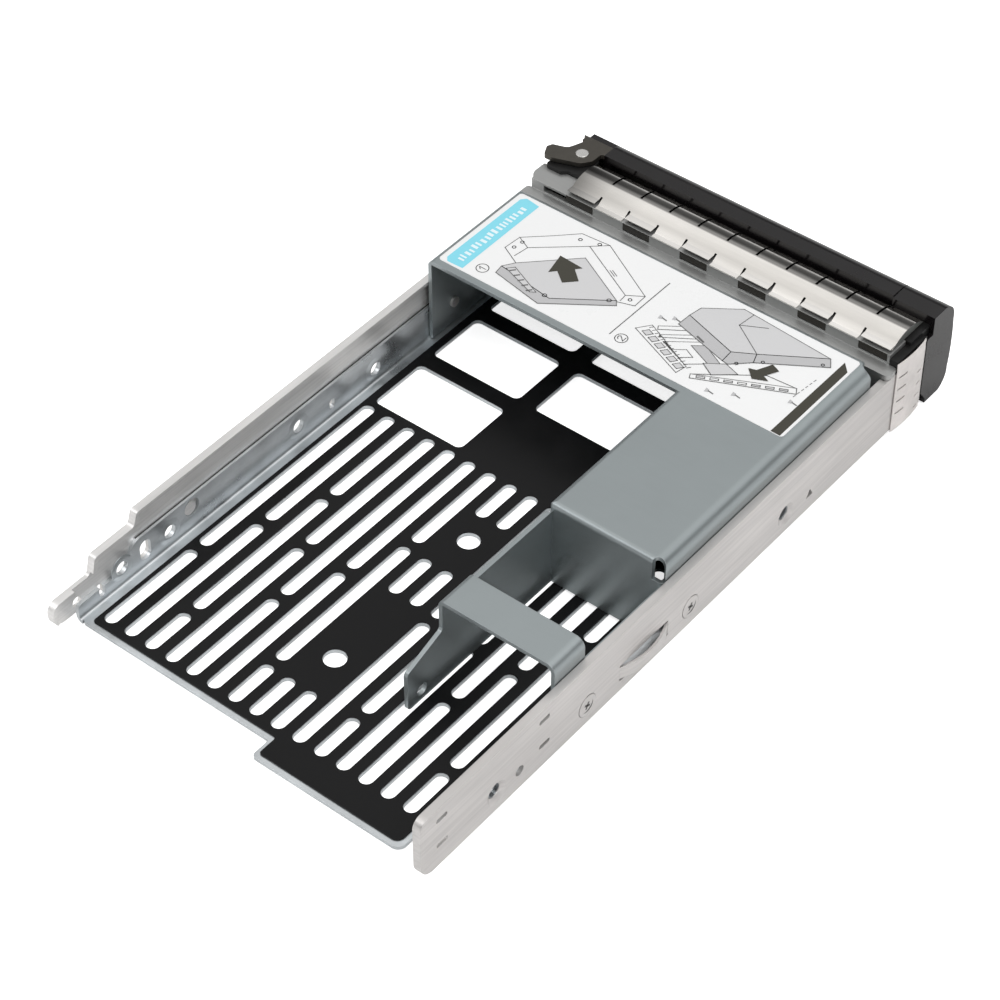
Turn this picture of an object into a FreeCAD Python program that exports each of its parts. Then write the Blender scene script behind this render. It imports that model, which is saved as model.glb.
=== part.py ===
import FreeCAD, Part
import math
import os

# Hot swap drive caddy for a 3.5 inch bay, holding an adapter bracket for a 2.5 inch drive.
# Millimetres. +Z is up, the handle faces -Y, the connector end faces +Y. The light pipes and the
# release button are on the -X side, the lever's pivot on the +X side.

V = FreeCAD.Vector

# ---------------------------------------------------------------- driving dimensions
# Drives that the caddy takes, from the form factor standards
wide_drive_width = 101.6          # 3.5 inch drive, and so the adapter bracket
small_drive_width = 69.85         # 2.5 inch drive
side_hole_pitch = 101.6           # outer side fixing holes of a 3.5 inch drive, along its length
small_hole_pitch = 76.6           # side fixing holes of a 2.5 inch drive, along its length
side_hole_height = 6.35           # 3.5 inch side holes above the drive's underside
first_side_hole_y = 71.9          # rearmost side hole of the -X rail
small_hole_height = 3.0           # 2.5 inch side holes above the drive's underside

# Base plate: one folded sheet
floor_sheet = 0.9
base_rear_y = 86.0                # rear edge on the +X part
base_rear_step = 5.4              # how much further back the -X part reaches
base_step_x = -3.7                # where the rear edge steps
base_front_y = -83.0
base_corner_inset = 9.3           # from the -X rail to the inner edge of the relief beside it
base_relief_y = 84.0              # front end of that relief
flange_height = 10.2
flange_rear_y = 68.6
flange_front_y = -66.6
bend_radius = 0.8                 # inside radius of the folds

# Insulating film on the base plate
film_thickness = 0.3
film_border = 1.2                 # bare steel left beside the film at the rear
film_edge_inset = 4.6             # from the +X rail to the film
film_near_inset = 10.5            # from the -X rail to the film
film_front_y = -66.0

# Ventilation slots and windows in both
slot_pitch = 6.0
slot_row_pitch = 15.0
slot_length = 9.3                 # between the centres of a slot's round ends
slot_width = 3.5
slot_inset = 7.2                  # from the +X rail to the first column of slots
slot_first_y = 81.3               # rear end centre of the rearmost cell
stand_hole_radius = 2.6
stand_hole_y = (60.3, 15.3)
stand_hole_x = 0.5
window_width = 25.6
window_length = 16.6
window_pitch_x = 30.4
window_pitch_y = 21.1
window_inset = 19.4               # from the +X rail to the middle of the first column of windows
window_first_y = -14.6            # middle of the rearmost row
window_corner = 1.6

# Side rails: drawn sheet with a rim turned inwards
drive_gap = 0.2                   # between a 3.5 inch drive and the flange beside it
rail_sheet = 1.0
rim_clearance = 0.15              # between the rim's edge and a 3.5 inch drive
rail_bottom_z = 2.4
near_rail_top_z = 19.6
near_rail_rear_y = 95.7
far_rail_top_z = 18.0
far_rail_rear_y = 93.0
far_step_low_z = 9.7
far_step_mid_z = 14.6
far_step_low_y = 80.8
far_step_mid_y = 67.5
rail_front_y = -84.0
rail_tip_radius = 4.0
near_middle_holes_y = (42.0, 5.9)
far_holes = ((72.4, 5.9), (57.3, 5.3), (14.7, 5.9), (-12.2, 4.6))      # Y and Z of each
bracket_far_holes_y = (-39.7, -59.7)
tail_hole = (85.3, 5.2)
tail_hole_radius = 1.3
small_ovals = ((78.6, 3.6), (3.0, 4.4))
small_oval_width = 1.8
small_oval_height = 2.8
large_oval = (64.9, 5.6)
large_oval_width = 3.4
large_oval_height = 5.4
button_lance = (50.0, 7.2)        # a round lance: a hole in the flange, filled by a boss on the rail
button_lance_radius = 2.3
button_lance_shift = 0.5
dimple_radius = 3.3
dimple_hole_radius = 1.7
dimple_clearance = 0.05
screw_radius = 1.4
leaf_length = 17.0
leaf_height = 3.4
leaf_middle_y = 22.5
leaf_middle_z = 7.7
leaf_slit = 0.7
leaf_sheet = 0.6
leaf_rise = 1.9                  # how far the leaf spring stands out of the rail

# Adapter bracket: one folded sheet
bracket_sheet = 1.0
bracket_top_z = 24.8
bracket_front_y = -66.2
bracket_deck_rear_y = -31.8       # rear edge of the full-width deck
bracket_channel_rear_y = 13.7     # rear wall of the deep channel on the -X side
drive_clearance = 0.15            # each side of the 2.5 inch drive
bracket_fold_radius = 3.0         # outside radius of the long fold on the -X side
bracket_small_fold = 1.4
strap_fold_radius = 2.4
rear_relief_radius = 1.5
rear_relief_z = 19.0
leg_top_z = 22.6
strap_front_y = 40.5
strap_rear_y = 50.5
tail_rear_y = 62.1
tail_rear_z = 12.2
tail_shoulder_z = 16.3
low_wall_top_z = 18.0
corner_relief_radius = 2.0

# Label on the deck
label_thickness = 0.1
label_rear_margin = 1.8
label_margin = 0.1                # from the deck's folds
label_corner = 1.0

# Front frame, panel, handle
frame_sheet = 1.2
frame_rear_y = -68.2
frame_front_y = -78.4
frame_top_z = 23.7
frame_step_y = -72.0              # where the frame steps down to its ledge
frame_ledge_z = 21.0
frame_corner_radius = 3.0
frame_window_count = 6
riser_slot_reach = 6.7            # how far the first riser slot runs past the finger strip
ear_top_z = 22.6                  # the panel's black ear beside the frame's -X end
frame_overhang = 0.1              # past the rails, above them
panel_rear_y = -78.5
panel_front_y = -86.4
panel_wall = 2.0
handle_rear_y = -87.2
handle_front_y = -95.7
handle_top_z = 26.2
handle_bottom_z = 0.4
handle_wall = 2.0
handle_slot_count = 6
handle_slot_width = 9.6
handle_slot_height = 15.0
handle_slot_corner = 1.5
crown_depth = 0.5                 # how far the handle's front bulges between its rounded edges
crown_middle_z = 13.0
crown_half = 7.6
shoulder_reach = 4.8              # how far back the front's top edge is rounded
heel_reach = 3.5                  # and its bottom edge
handle_lip = 1.5                  # thickness of the lip down the handle's rear edge
handle_lip_z = 20.6
cheek_rear_y = -84.05             # how far back the end block wraps round the side
cheek_top_z = 21.3
end_block_gap = 0.3
end_block_overhang = 0.15
end_block_length = 11.45          # along X, beside the handle

# Lever pivot
pivot_inset = 6.7                 # from the +X rail's outer face
pivot_y = -84.4
pin_radius = 1.3
pin_clearance = 0.05
pin_head_radius = 1.6
arm_sheet = 1.2
arm_top_z = 26.1
arm_bottom_z = 2.1
lug_radius = 4.4
roof_rear_y = -77.2               # rear edge of the pivot block's top
seat_gap = 0.2                    # running gap between the lever and what it turns on
pin_head_height = 0.3
claw_front_y = -90.8
claw_back = ((-3.7, 0.6, 2.0), (-1.8, 3.2, 2.0), (1.2, 4.3, 2.0), (4.9, 5.6, 1.5))   # X, Y, corner
claw_hook = ((-1.4, 5.7, 0.8), (0.0, 2.9, 0.8), (-0.6, 1.4, 0.7), (-4.4, 0.1, 2.4))  # X from its tip
claw_horn_root = (2.6, -4.2, 1.5)
claw_horn_x = 4.2
web_reach = 14.0                  # how far the lever's web reaches into the handle
web_overhang = 3.4                # and past the pivot
lever_spring_wire = 0.6
lever_spring_turns = 5
cavity_radius = 3.5               # room for the lever's spring in the pivot block
cavity_height = 6.4
cavity_low_z = 10.0

# Finger strips: thin stainless spring sheet
strip_sheet = 0.2
strip_rear_y = -73.4
strip_front_y = -86.35
strip_end_gap = 0.1               # from the pivot block
strip_inset = 2.7                 # from the -X rail's outer face
finger_count = 11
finger_slit = 0.6
strip_crest_z = 26.2
side_finger_count = 6
front_slit_length = 6.9
rear_slit_length = 1.8
tab_root = 1.1                    # where a raised tab leaves the crown
raised_tab_y = -72.6
side_strip_rear_y = -70.2
side_strip_front_y = -83.2
side_strip_low_z = 0.9
side_strip_top_z = 22.5
side_strip_crown = 1.5
side_slit = 0.45
side_slit_length = 3.0

# Release button, latch and light pipes
button_inset = 6.75               # from the end block's outer face
button_width = 6.6
button_height = 12.0
button_corner = 0.9
button_rear_y = -91.4
button_bore_depth = 1.6
button_middle_z = 13.4
button_travel = 2.4
button_clearance = 0.1
latch_travel = 1.3
latch_height = 4.0
latch_clearance = 0.1
latch_rear_y = -86.7
latch_tail = 1.1                  # how far the latch reaches into the end block
latch_nose = 1.0                  # and into the handle, at rest
spring_wire = 0.5
spring_radius = 2.2
spring_turns = 5
pipe_height = 2.0
pipe_width = 1.0
pipe_gap = 0.02                   # from the rail's inner face
pipe_clearance = 0.1
pipe_end_gap = 0.3
pipe_recess = 0.6
pipe_upper_z = 16.2
pipe_lower_z = 12.4

# ---------------------------------------------------------------- values worked out from them
film_top_z = floor_sheet + film_thickness
bracket_half = wide_drive_width / 2
flange_inner_x = bracket_half + drive_gap
rail_inner_x = flange_inner_x + floor_sheet
rail_outer_x = rail_inner_x + rail_sheet
base_corner_x = base_corner_inset - rail_outer_x
film_edge_x = rail_outer_x - film_edge_inset
film_near_edge_x = film_near_inset - rail_outer_x
slot_first_x = rail_outer_x - slot_inset
window_first_x = rail_outer_x - window_inset
frame_half_width = rail_outer_x + frame_overhang
end_block_x = -rail_outer_x - end_block_overhang
pivot_x = rail_outer_x - pivot_inset
handle_far_x = pivot_x - lug_radius - seat_gap
handle_near_x = end_block_x + end_block_length + end_block_gap
strip_far_x = handle_far_x - strip_end_gap
strip_near_x = strip_inset - rail_outer_x
button_x = end_block_x + button_inset
latch_low_x = handle_near_x - latch_tail
latch_high_x = handle_near_x + latch_nose
pocket_far_x = bracket_half - bracket_sheet
leg_far_x = pocket_far_x - small_drive_width - 2 * drive_clearance
leg_near_x = leg_far_x - bracket_sheet
rail_rim = rail_outer_x - bracket_half - rim_clearance
hole_z = film_top_z + side_hole_height
near_holes_y = (first_side_hole_y,) + near_middle_holes_y + (first_side_hole_y - side_hole_pitch,)
screw_places = ((-1, near_middle_holes_y[0]), (-1, near_middle_holes_y[1]),
                (1, bracket_far_holes_y[0]), (1, bracket_far_holes_y[1]))
small_hole_z = film_top_z + small_hole_height
small_hole_rear_y = 57.5
web_end_x = handle_far_x - web_reach
web_far_x = pivot_x + web_overhang
web_top_z = handle_top_z - handle_wall
web_front_y = pivot_y - lug_radius - seat_gap - arm_sheet
claw_tip_x = rail_outer_x + leaf_rise
ear_x = strip_near_x - 0.4
finger_pitch = (strip_far_x - strip_near_x) / finger_count
latch_front_y = button_rear_y + button_travel + latch_clearance


# ---------------------------------------------------------------- helpers
def box(x0, x1, y0, y1, z0, z1):
    low = V(min(x0, x1), min(y0, y1), min(z0, z1))
    return Part.makeBox(abs(x1 - x0), abs(y1 - y0), abs(z1 - z0), low)


def rod(radius, length, start, direction):
    return Part.makeCylinder(radius, length, start, direction)


def rounded_wire(corners, place):
    """A closed outline with round corners: corners are (a, b, radius), place maps (a, b) to a point."""
    count = len(corners)
    edges = []
    ends = []
    for i in range(count):
        a, b, radius = corners[i]
        before = corners[i - 1]
        after = corners[(i + 1) % count]
        to_before = V(before[0] - a, before[1] - b, 0)
        to_after = V(after[0] - a, after[1] - b, 0)
        half = to_before.getAngle(to_after) / 2
        reach = radius / math.tan(half) if radius > 0 else 0.0
        to_before.normalize()
        to_after.normalize()
        start = V(a, b, 0) + to_before * reach
        end = V(a, b, 0) + to_after * reach
        middle = None
        if radius > 0:
            inward = to_before + to_after
            inward.normalize()
            centre = V(a, b, 0) + inward * (radius / math.sin(half))
            middle = centre - inward * radius
        ends.append((start, middle, end))
    for i in range(count):
        start, middle, end = ends[i]
        if middle is not None:
            arc = Part.Arc(place(start.x, start.y), place(middle.x, middle.y), place(end.x, end.y))
            edges.append(arc.toShape())
        following = ends[(i + 1) % count][0]
        if (following - end).Length > 1e-6:
            edges.append(Part.LineSegment(place(end.x, end.y), place(following.x, following.y)).toShape())
    return Part.Wire(edges)


def plate(corners, z0, z1):
    """A flat plate from an outline in X and Y."""
    face = Part.Face(rounded_wire(corners, lambda a, b: V(a, b, z0)))
    return face.extrude(V(0, 0, z1 - z0))


def side_plate(corners, x0, x1):
    """A plate standing along Y, from an outline in Y and Z."""
    face = Part.Face(rounded_wire(corners, lambda a, b: V(x0, a, b)))
    return face.extrude(V(x1 - x0, 0, 0))


def front_plate(corners, y0, y1):
    """A plate standing along X, from an outline in X and Z."""
    face = Part.Face(rounded_wire(corners, lambda a, b: V(a, y0, b)))
    return face.extrude(V(0, y1 - y0, 0))


def rectangle(a0, a1, b0, b1, radius):
    return [(a0, b0, radius), (a1, b0, radius), (a1, b1, radius), (a0, b1, radius)]


def long_slot(x, y0, y1, width, z0, z1):
    """A slot with round ends whose end centres lie at y0 and y1."""
    half = width / 2
    line_a = Part.LineSegment(V(x - half, y0, z0), V(x - half, y1, z0)).toShape()
    cap_b = Part.Arc(V(x - half, y1, z0), V(x, y1 + half, z0), V(x + half, y1, z0)).toShape()
    line_b = Part.LineSegment(V(x + half, y1, z0), V(x + half, y0, z0)).toShape()
    cap_a = Part.Arc(V(x + half, y0, z0), V(x, y0 - half, z0), V(x - half, y0, z0)).toShape()
    return Part.Face(Part.Wire([line_a, cap_b, line_b, cap_a])).extrude(V(0, 0, z1 - z0))


def fuse(shapes):
    whole = shapes[0].multiFuse(shapes[1:]) if len(shapes) > 1 else shapes[0]
    return whole.removeSplitter()


def write(name, shape):
    solids = shape.Solids
    one = solids[0] if len(solids) == 1 else Part.makeCompound(solids)
    one.exportStep(os.path.join("parts", name + ".step"))
    print(name, len(solids), round(one.Volume, 1), one.isValid())


# ---------------------------------------------------------------- slots and windows, base and film
def slot_runs(column):
    """Which cells of a column of slots run together, from the rear."""
    if column in (7, 8):
        return [(0, 0), (3, 3), (5, 5)]
    return [[(0, 1), (2, 5)], [(0, 2), (3, 5)], [(0, 0), (1, 3), (4, 5)], [(0, 2), (3, 5)]][column % 4]


def floor_cuts(z0, z1, width, inset):
    """The slots, stand-off holes and windows, cut from z0 to z1."""
    cuts = []
    for column in range(15):
        x = slot_first_x - slot_pitch * column
        for first, last in slot_runs(column):
            y_rear = slot_first_y - slot_row_pitch * first
            y_front = slot_first_y - slot_row_pitch * last - slot_length
            cuts.append(long_slot(x, y_front, y_rear, width, z0, z1))
    for y in stand_hole_y:
        cuts.append(rod(stand_hole_radius + inset, z1 - z0, V(stand_hole_x, y, z0), V(0, 0, 1)))
    half_x = window_width / 2 + inset
    half_y = window_length / 2 + inset
    for column in range(3):
        for row in range(3):
            if row == 0 and column == 1:
                continue
            x = window_first_x - window_pitch_x * column
            y = window_first_y - window_pitch_y * row
            outline = rectangle(x - half_x, x + half_x, y - half_y, y + half_y, window_corner + inset)
            cuts.append(plate(outline, z0, z1))
    return cuts


def base_plate():
    rear_near = base_rear_y + base_rear_step
    outline = [
        (flange_inner_x - bend_radius, base_front_y, 0.0),
        (flange_inner_x - bend_radius, base_rear_y, 1.0),
        (base_step_x, base_rear_y, 1.0),
        (base_step_x, rear_near, 1.0),
        (base_corner_x, rear_near, 2.2),
        (base_corner_x, base_relief_y, 1.5),
        (-flange_inner_x + bend_radius, base_relief_y, 0.0),
        (-flange_inner_x + bend_radius, base_front_y, 0.0),
    ]
    pieces = [plate(outline, 0, floor_sheet)]
    for side in (1, -1):
        rear = base_rear_y if side > 0 else base_relief_y
        outer = bend_radius + floor_sheet
        bend_x = side * (flange_inner_x - bend_radius)
        ring = rod(outer, rear - flange_front_y, V(bend_x, flange_front_y, outer), V(0, 1, 0))
        ring = ring.cut(rod(bend_radius, rear - flange_front_y, V(bend_x, flange_front_y, outer), V(0, 1, 0)))
        quarter = box(bend_x, side * rail_inner_x, flange_front_y, rear, 0, outer)
        pieces.append(ring.common(quarter))
        flange = [
            (flange_front_y, outer, 0.0),
            (rear, outer, 0.0),
            (rear, rail_bottom_z + 2.4, 1.0),
            (flange_rear_y + 1.5, rail_bottom_z + 2.4, 1.0),
            (flange_rear_y, flange_height, 3.0),
            (flange_front_y, flange_height, 1.0),
        ]
        pieces.append(side_plate(flange, side * flange_inner_x, side * rail_inner_x))
    body = fuse(pieces)
    cuts = floor_cuts(-1, film_top_z + 1, slot_width - 0.3, 0.0)
    for side in (1, -1):
        for y, z in side_holes(side):
            cuts.append(rod(dimple_hole_radius, 4, V(side * (flange_inner_x - 1), y, z), V(side, 0, 0)))
    y, z = button_lance
    cuts.append(rod(button_lance_radius, 4, V(flange_inner_x - 1, y, z), V(1, 0, 0)))
    cuts.extend(flange_ovals(0.0))
    body = body.cut(Part.makeCompound(cuts))
    dimples = []
    height = flange_inner_x - bracket_half - dimple_clearance
    for side in (1, -1):
        for y, z in side_holes(side):
            start = V(side * flange_inner_x, y, z)
            cone = Part.makeCone(dimple_radius, dimple_hole_radius + 0.5, height, start, V(-side, 0, 0))
            dimples.append(cone.cut(rod(dimple_hole_radius, height, start, V(-side, 0, 0))))
    return fuse([body] + dimples)


def side_holes(side):
    """The fixing holes in one rail and its flange: Y and Z of each."""
    if side < 0:
        return tuple((y, hole_z) for y in near_holes_y)
    return far_holes + tuple((y, hole_z) for y in bracket_far_holes_y)


def flange_ovals(grow):
    """The upright oval holes in the +X flange and rail."""
    ovals = []
    sizes = [(large_oval, large_oval_width, large_oval_height)]
    sizes.extend((place, small_oval_width, small_oval_height) for place in small_ovals)
    for (y, z), width, height in sizes:
        half = width / 2 + grow
        tall = height / 2 + grow
        outline = rectangle(y - half, y + half, z - tall, z + tall, half * 0.95)
        ovals.append(side_plate(outline, flange_inner_x - 1, rail_outer_x + 1))
    return ovals


def insulating_film():
    rear_far = base_rear_y - film_border
    rear_near = base_rear_y + base_rear_step - film_border
    outline = [
        (film_edge_x, film_front_y, 0.5),
        (film_edge_x, rear_far, 0.8),
        (base_step_x - film_border + 0.3, rear_far, 0.8),
        (base_step_x - film_border + 0.3, rear_near, 0.8),
        (film_near_edge_x, rear_near, 2.0),
        (film_near_edge_x, film_front_y, 0.5),
    ]
    sheet = plate(outline, floor_sheet, film_top_z)
    return sheet.cut(Part.makeCompound(floor_cuts(-1, film_top_z + 1, slot_width, 0.1)))


# ---------------------------------------------------------------- side rails
def rail_outline(side, inset):
    """The rail seen from the side, as corners in Y and Z, drawn in by inset at its top and rear."""
    low = rail_bottom_z
    tip = max(rail_tip_radius - inset, 0.5)
    small = max(2.5 - inset, 0.3)
    if side < 0:
        top = near_rail_top_z - inset
        rear = near_rail_rear_y - inset
        return [(rail_front_y, low, 0.0), (rear, low, tip), (rear, top, small), (rail_front_y, top, 0.0)]
    rear = far_rail_rear_y - inset
    step = 1.2
    return [
        (rail_front_y, low, 0.0),
        (rear, low, tip),
        (rear, far_step_low_z - inset, small),
        (far_step_low_y - inset, far_step_low_z - inset, step),
        (far_step_low_y - step - inset, far_step_mid_z - inset, step),
        (far_step_mid_y - inset, far_step_mid_z - inset, step),
        (far_step_mid_y - step - inset, far_rail_top_z - inset, step),
        (rail_front_y, far_rail_top_z - inset, 0.0),
    ]


def side_rail(side):
    outer = side_plate(rail_outline(side, 0.0), side * rail_outer_x, side * (rail_outer_x - rail_rim))
    hollow = side_plate(rail_outline(side, rail_sheet), side * rail_inner_x, side * (rail_inner_x - rail_rim))
    below = box(side * rail_inner_x, 0, rail_front_y - 1, 200,
                rail_bottom_z - 1, rail_bottom_z + rail_sheet + 0.5)
    flange_room = box(side * rail_inner_x, 0, flange_front_y - 1, base_rear_y + 0.3, 0, flange_height + 0.3)
    frame_room = box(side * rail_inner_x, 0, rail_front_y - 1, frame_rear_y + 0.2, 0, 40)
    rail = outer.cut(hollow).cut(below).cut(flange_room).cut(frame_room)
    cuts = []
    reach = rail_sheet + 1
    for y, z in side_holes(side):
        start = V(side * (rail_inner_x - 0.5), y, z)
        cuts.append(rod(dimple_hole_radius + 0.1, reach, start, V(side, 0, 0)))
        mouth = V(side * (rail_outer_x - 0.8), y, z)
        cuts.append(Part.makeCone(dimple_hole_radius + 0.1, dimple_hole_radius + 1.3, 0.81,
                                  mouth, V(side, 0, 0)))
    window_y = leaf_length / 2
    window_z = leaf_height / 2 + leaf_slit
    inner = side * (rail_inner_x - 0.5)
    outer_x = side * (rail_outer_x + 0.5)
    window = rectangle(
        leaf_middle_y - window_y, leaf_middle_y + window_y,
        leaf_middle_z - window_z, leaf_middle_z + window_z, 0.4)
    cuts.append(side_plate(window, inner, outer_x))
    if side < 0:
        for y in (89.0, 56.4):
            for z in (16.0, 8.6):
                slit = rectangle(y - 1.7, y + 1.7, z - 0.6, z + 0.6, 0.5)
                cuts.append(side_plate(slit, inner, outer_x))
        cuts.append(rod(1.3, reach, V(side * (rail_inner_x - 0.5), 64.5, hole_z), V(side, 0, 0)))
        notch = [(-40.2, 6.2, 0.2), (-37.6, 6.2, 0.2), (-38.9, 8.6, 0.2)]
        cuts.append(side_plate(notch, inner, outer_x))
    else:
        cuts.extend(flange_ovals(0.1))
        start = V(side * (rail_inner_x - 0.5), tail_hole[0], tail_hole[1])
        cuts.append(rod(tail_hole_radius, reach, start, V(side, 0, 0)))
    rail = rail.cut(Part.makeCompound(cuts))
    pieces = [rail, leaf_spring(side)]
    if side > 0:
        y, z = button_lance
        start = V(rail_inner_x, y + button_lance_shift, z)
        pieces.append(rod(button_lance_radius - button_lance_shift - 0.05, floor_sheet, start, V(-1, 0, 0)))
    return fuse(pieces)


def leaf_spring(side):
    """The strip that the rail keeps between two slits, bowed outwards."""
    half = leaf_length / 2 + 0.05
    middle_x = rail_outer_x - rail_sheet / 2
    base = middle_x - leaf_sheet / 2
    z0 = leaf_middle_z - leaf_height / 2

    def curve(offset):
        ends_x = side * (base + offset)
        crest_x = side * (rail_outer_x + leaf_rise - leaf_sheet + offset)
        return Part.Arc(V(ends_x, leaf_middle_y - half, z0), V(crest_x, leaf_middle_y, z0),
                        V(ends_x, leaf_middle_y + half, z0)).toShape()

    inner = curve(0.0)
    outer = curve(leaf_sheet)
    close_a = Part.LineSegment(inner.Vertexes[0].Point, outer.Vertexes[0].Point).toShape()
    close_b = Part.LineSegment(inner.Vertexes[1].Point, outer.Vertexes[1].Point).toShape()
    face = Part.Face(Part.Wire(Part.__sortEdges__([inner, close_a, outer, close_b])))
    return face.extrude(V(0, 0, leaf_height))


# ---------------------------------------------------------------- adapter bracket and its label
def adapter_bracket():
    near_x = -bracket_half
    far_x = bracket_half
    base = film_top_z
    top = bracket_top_z
    sheet = bracket_sheet
    channel_far_x = leg_far_x

    def block(inset):
        deck = box(near_x + inset, far_x - inset, bracket_front_y + inset, bracket_deck_rear_y - inset,
                   base - (1 if inset else 0), top - inset)
        channel = box(near_x + inset, channel_far_x - inset, bracket_front_y + inset,
                      bracket_channel_rear_y - inset, base - (1 if inset else 0), top - inset)
        whole = fuse([deck, channel])
        return fold_edges(whole, inset)

    def fold_edges(whole, inset):
        long_fold = []
        small_fold = []
        for edge in whole.Edges:
            points = [vertex.Point for vertex in edge.Vertexes]
            if len(points) < 2 or min(p.z for p in points) < top - inset - 0.1:
                continue
            if all(abs(p.x - near_x - inset) < 0.1 for p in points):
                long_fold.append(edge)
            elif all(abs(p.y - bracket_deck_rear_y + inset) < 0.1 for p in points):
                continue
            else:
                small_fold.append(edge)
        whole = whole.makeFillet(bracket_fold_radius - inset, long_fold)
        small = []
        for edge in whole.Edges:
            if any(edge.CenterOfMass.distanceToPoint(old.CenterOfMass) < 2.5 for old in small_fold):
                if abs(edge.CenterOfMass.z - top + inset) < 0.05:
                    small.append(edge)
        radius = bracket_small_fold - inset
        return whole.makeFillet(radius, small) if radius > 0.1 else whole

    shell = block(0.0).cut(block(sheet))
    open_rear = box(channel_far_x + 0.001, far_x - sheet, bracket_deck_rear_y - sheet - 1,
                    bracket_deck_rear_y + 1, 0, top - sheet)
    shell = shell.cut(open_rear)

    leg = side_plate([
        (bracket_channel_rear_y - sheet, base, 0.0),
        (tail_rear_y, base, 1.0),
        (tail_rear_y, tail_rear_z, 1.5),
        (strap_rear_y, tail_shoulder_z, 1.0),
        (strap_rear_y, top, 0.0),
        (strap_front_y, top, 0.0),
        (strap_front_y, leg_top_z, 1.0),
        (bracket_channel_rear_y - sheet, leg_top_z, 0.0),
    ], leg_far_x, leg_near_x)
    inner_leg = box(leg_far_x, leg_near_x, bracket_front_y + 1, bracket_channel_rear_y, base, top - 2)
    strap_fold = strap_fold_radius
    strap_outline = [
        (leg_far_x, top, bracket_small_fold),
        (near_x, top, strap_fold),
        (near_x, base, 0.0),
        (near_x + sheet, base, 0.0),
        (near_x + sheet, top - sheet, strap_fold - sheet),
        (leg_near_x, top - sheet, 0.3),
        (leg_near_x, leg_top_z - 6, 0.0),
        (leg_far_x, leg_top_z - 6, 0.0),
    ]
    strap = front_plate(strap_outline, strap_front_y, strap_rear_y)
    corner_trim = box(leg_far_x + 1, leg_near_x - 3, strap_front_y - 1, strap_rear_y + 1, top - 3, top + 1)
    corner_keep = front_plate(strap_outline, strap_front_y - 1, strap_rear_y + 1)
    leg = leg.cut(corner_trim.cut(corner_keep))
    low_wall = box(near_x, near_x + sheet, bracket_channel_rear_y - sheet, strap_rear_y, base, low_wall_top_z)
    body = fuse([shell, leg, inner_leg, strap, low_wall])

    cuts = []
    relief_z = low_wall_top_z - 1.0
    cuts.append(rod(rear_relief_radius, 20,
                    V(near_x + rear_relief_radius, bracket_channel_rear_y - 0.3, rear_relief_z), V(0, 0, 1)))
    cuts.append(rod(corner_relief_radius, 20, V(near_x + 1.2, bracket_front_y + 0.4, relief_z), V(0, 0, 1)))
    cuts.append(rod(0.8, 20, V(channel_far_x, bracket_channel_rear_y, relief_z + 4), V(0, 0, 1)))
    for side, y in screw_places:
        cuts.append(rod(screw_radius, sheet + 1, V(side * (bracket_half + 0.5), y, hole_z), V(-side, 0, 0)))
    cuts.append(rod(dimple_hole_radius, sheet + 1, V(near_x - 0.5, near_holes_y[-1], hole_z), V(1, 0, 0)))
    for y in (small_hole_rear_y, small_hole_rear_y - small_hole_pitch):
        cuts.append(rod(1.6, 3 * sheet, V(leg_near_x - sheet, y, small_hole_z), V(1, 0, 0)))
    return body.cut(Part.makeCompound(cuts))


def bracket_label():
    outline = rectangle(
        -bracket_half + bracket_fold_radius + label_margin,
        bracket_half - bracket_small_fold - label_margin,
        bracket_front_y + bracket_small_fold + label_margin,
        bracket_deck_rear_y - label_rear_margin, label_corner)
    return plate(outline, bracket_top_z, bracket_top_z + label_thickness)


# ---------------------------------------------------------------- front frame and panel
def front_frame():
    """Folded frame: a ledge behind, a riser with slots for the finger strip, and the top in front."""
    half = rail_inner_x - 0.05
    cap_z = near_rail_top_z + 0.1
    low = box(-half, half, frame_front_y, frame_rear_y, floor_sheet, frame_ledge_z)
    high = box(ear_x, half, frame_front_y, frame_step_y, floor_sheet, frame_top_z)
    ledge_outline = rectangle(-rail_outer_x, frame_half_width, frame_step_y, frame_rear_y, 1.0)
    ledge = plate(ledge_outline, cap_z, frame_ledge_z)
    cap = plate([
        (ear_x, frame_front_y, 0.0),
        (frame_half_width, frame_front_y, 0.5),
        (frame_half_width, frame_step_y, frame_corner_radius),
        (ear_x, frame_step_y, 0.0),
    ], cap_z, frame_top_z)
    side = frame_sheet
    low_hollow = box(-half + side, half - side, frame_front_y - 1, frame_rear_y - side,
                     floor_sheet + side, frame_ledge_z - side)
    high_hollow = box(-half + side, half - side, frame_front_y - 1, frame_step_y - side,
                      floor_sheet + side, frame_top_z - side)
    body = fuse([low, high, ledge, cap]).cut(fuse([low_hollow, high_hollow]))
    ear_cut = box(-frame_half_width - 1, ear_x, frame_front_y - 1, frame_step_y, cap_z, frame_top_z + 1)
    cuts = [ear_cut]
    for i in range(0, finger_count, 2):
        far = strip_far_x - finger_pitch * i + (riser_slot_reach if i == 0 else -finger_slit / 2)
        near = strip_far_x - finger_pitch * (i + 1) + finger_slit / 2
        cuts.append(box(near, far, frame_step_y - side - 1, frame_step_y + 1,
                        frame_ledge_z + 0.4, frame_top_z - 0.6))
    pitch = 2 * (half - 4) / frame_window_count
    for i in range(frame_window_count):
        x = -half + 4 + pitch * (i + 0.5)
        outline = rectangle(x - pitch / 2 + 1.5, x + pitch / 2 - 1.5, 5.0, frame_ledge_z - 3, 1.5)
        cuts.append(front_plate(outline, frame_rear_y - 3, frame_rear_y + 1))
    cuts.extend(pipe_room())
    return body.cut(Part.makeCompound(cuts))


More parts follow.
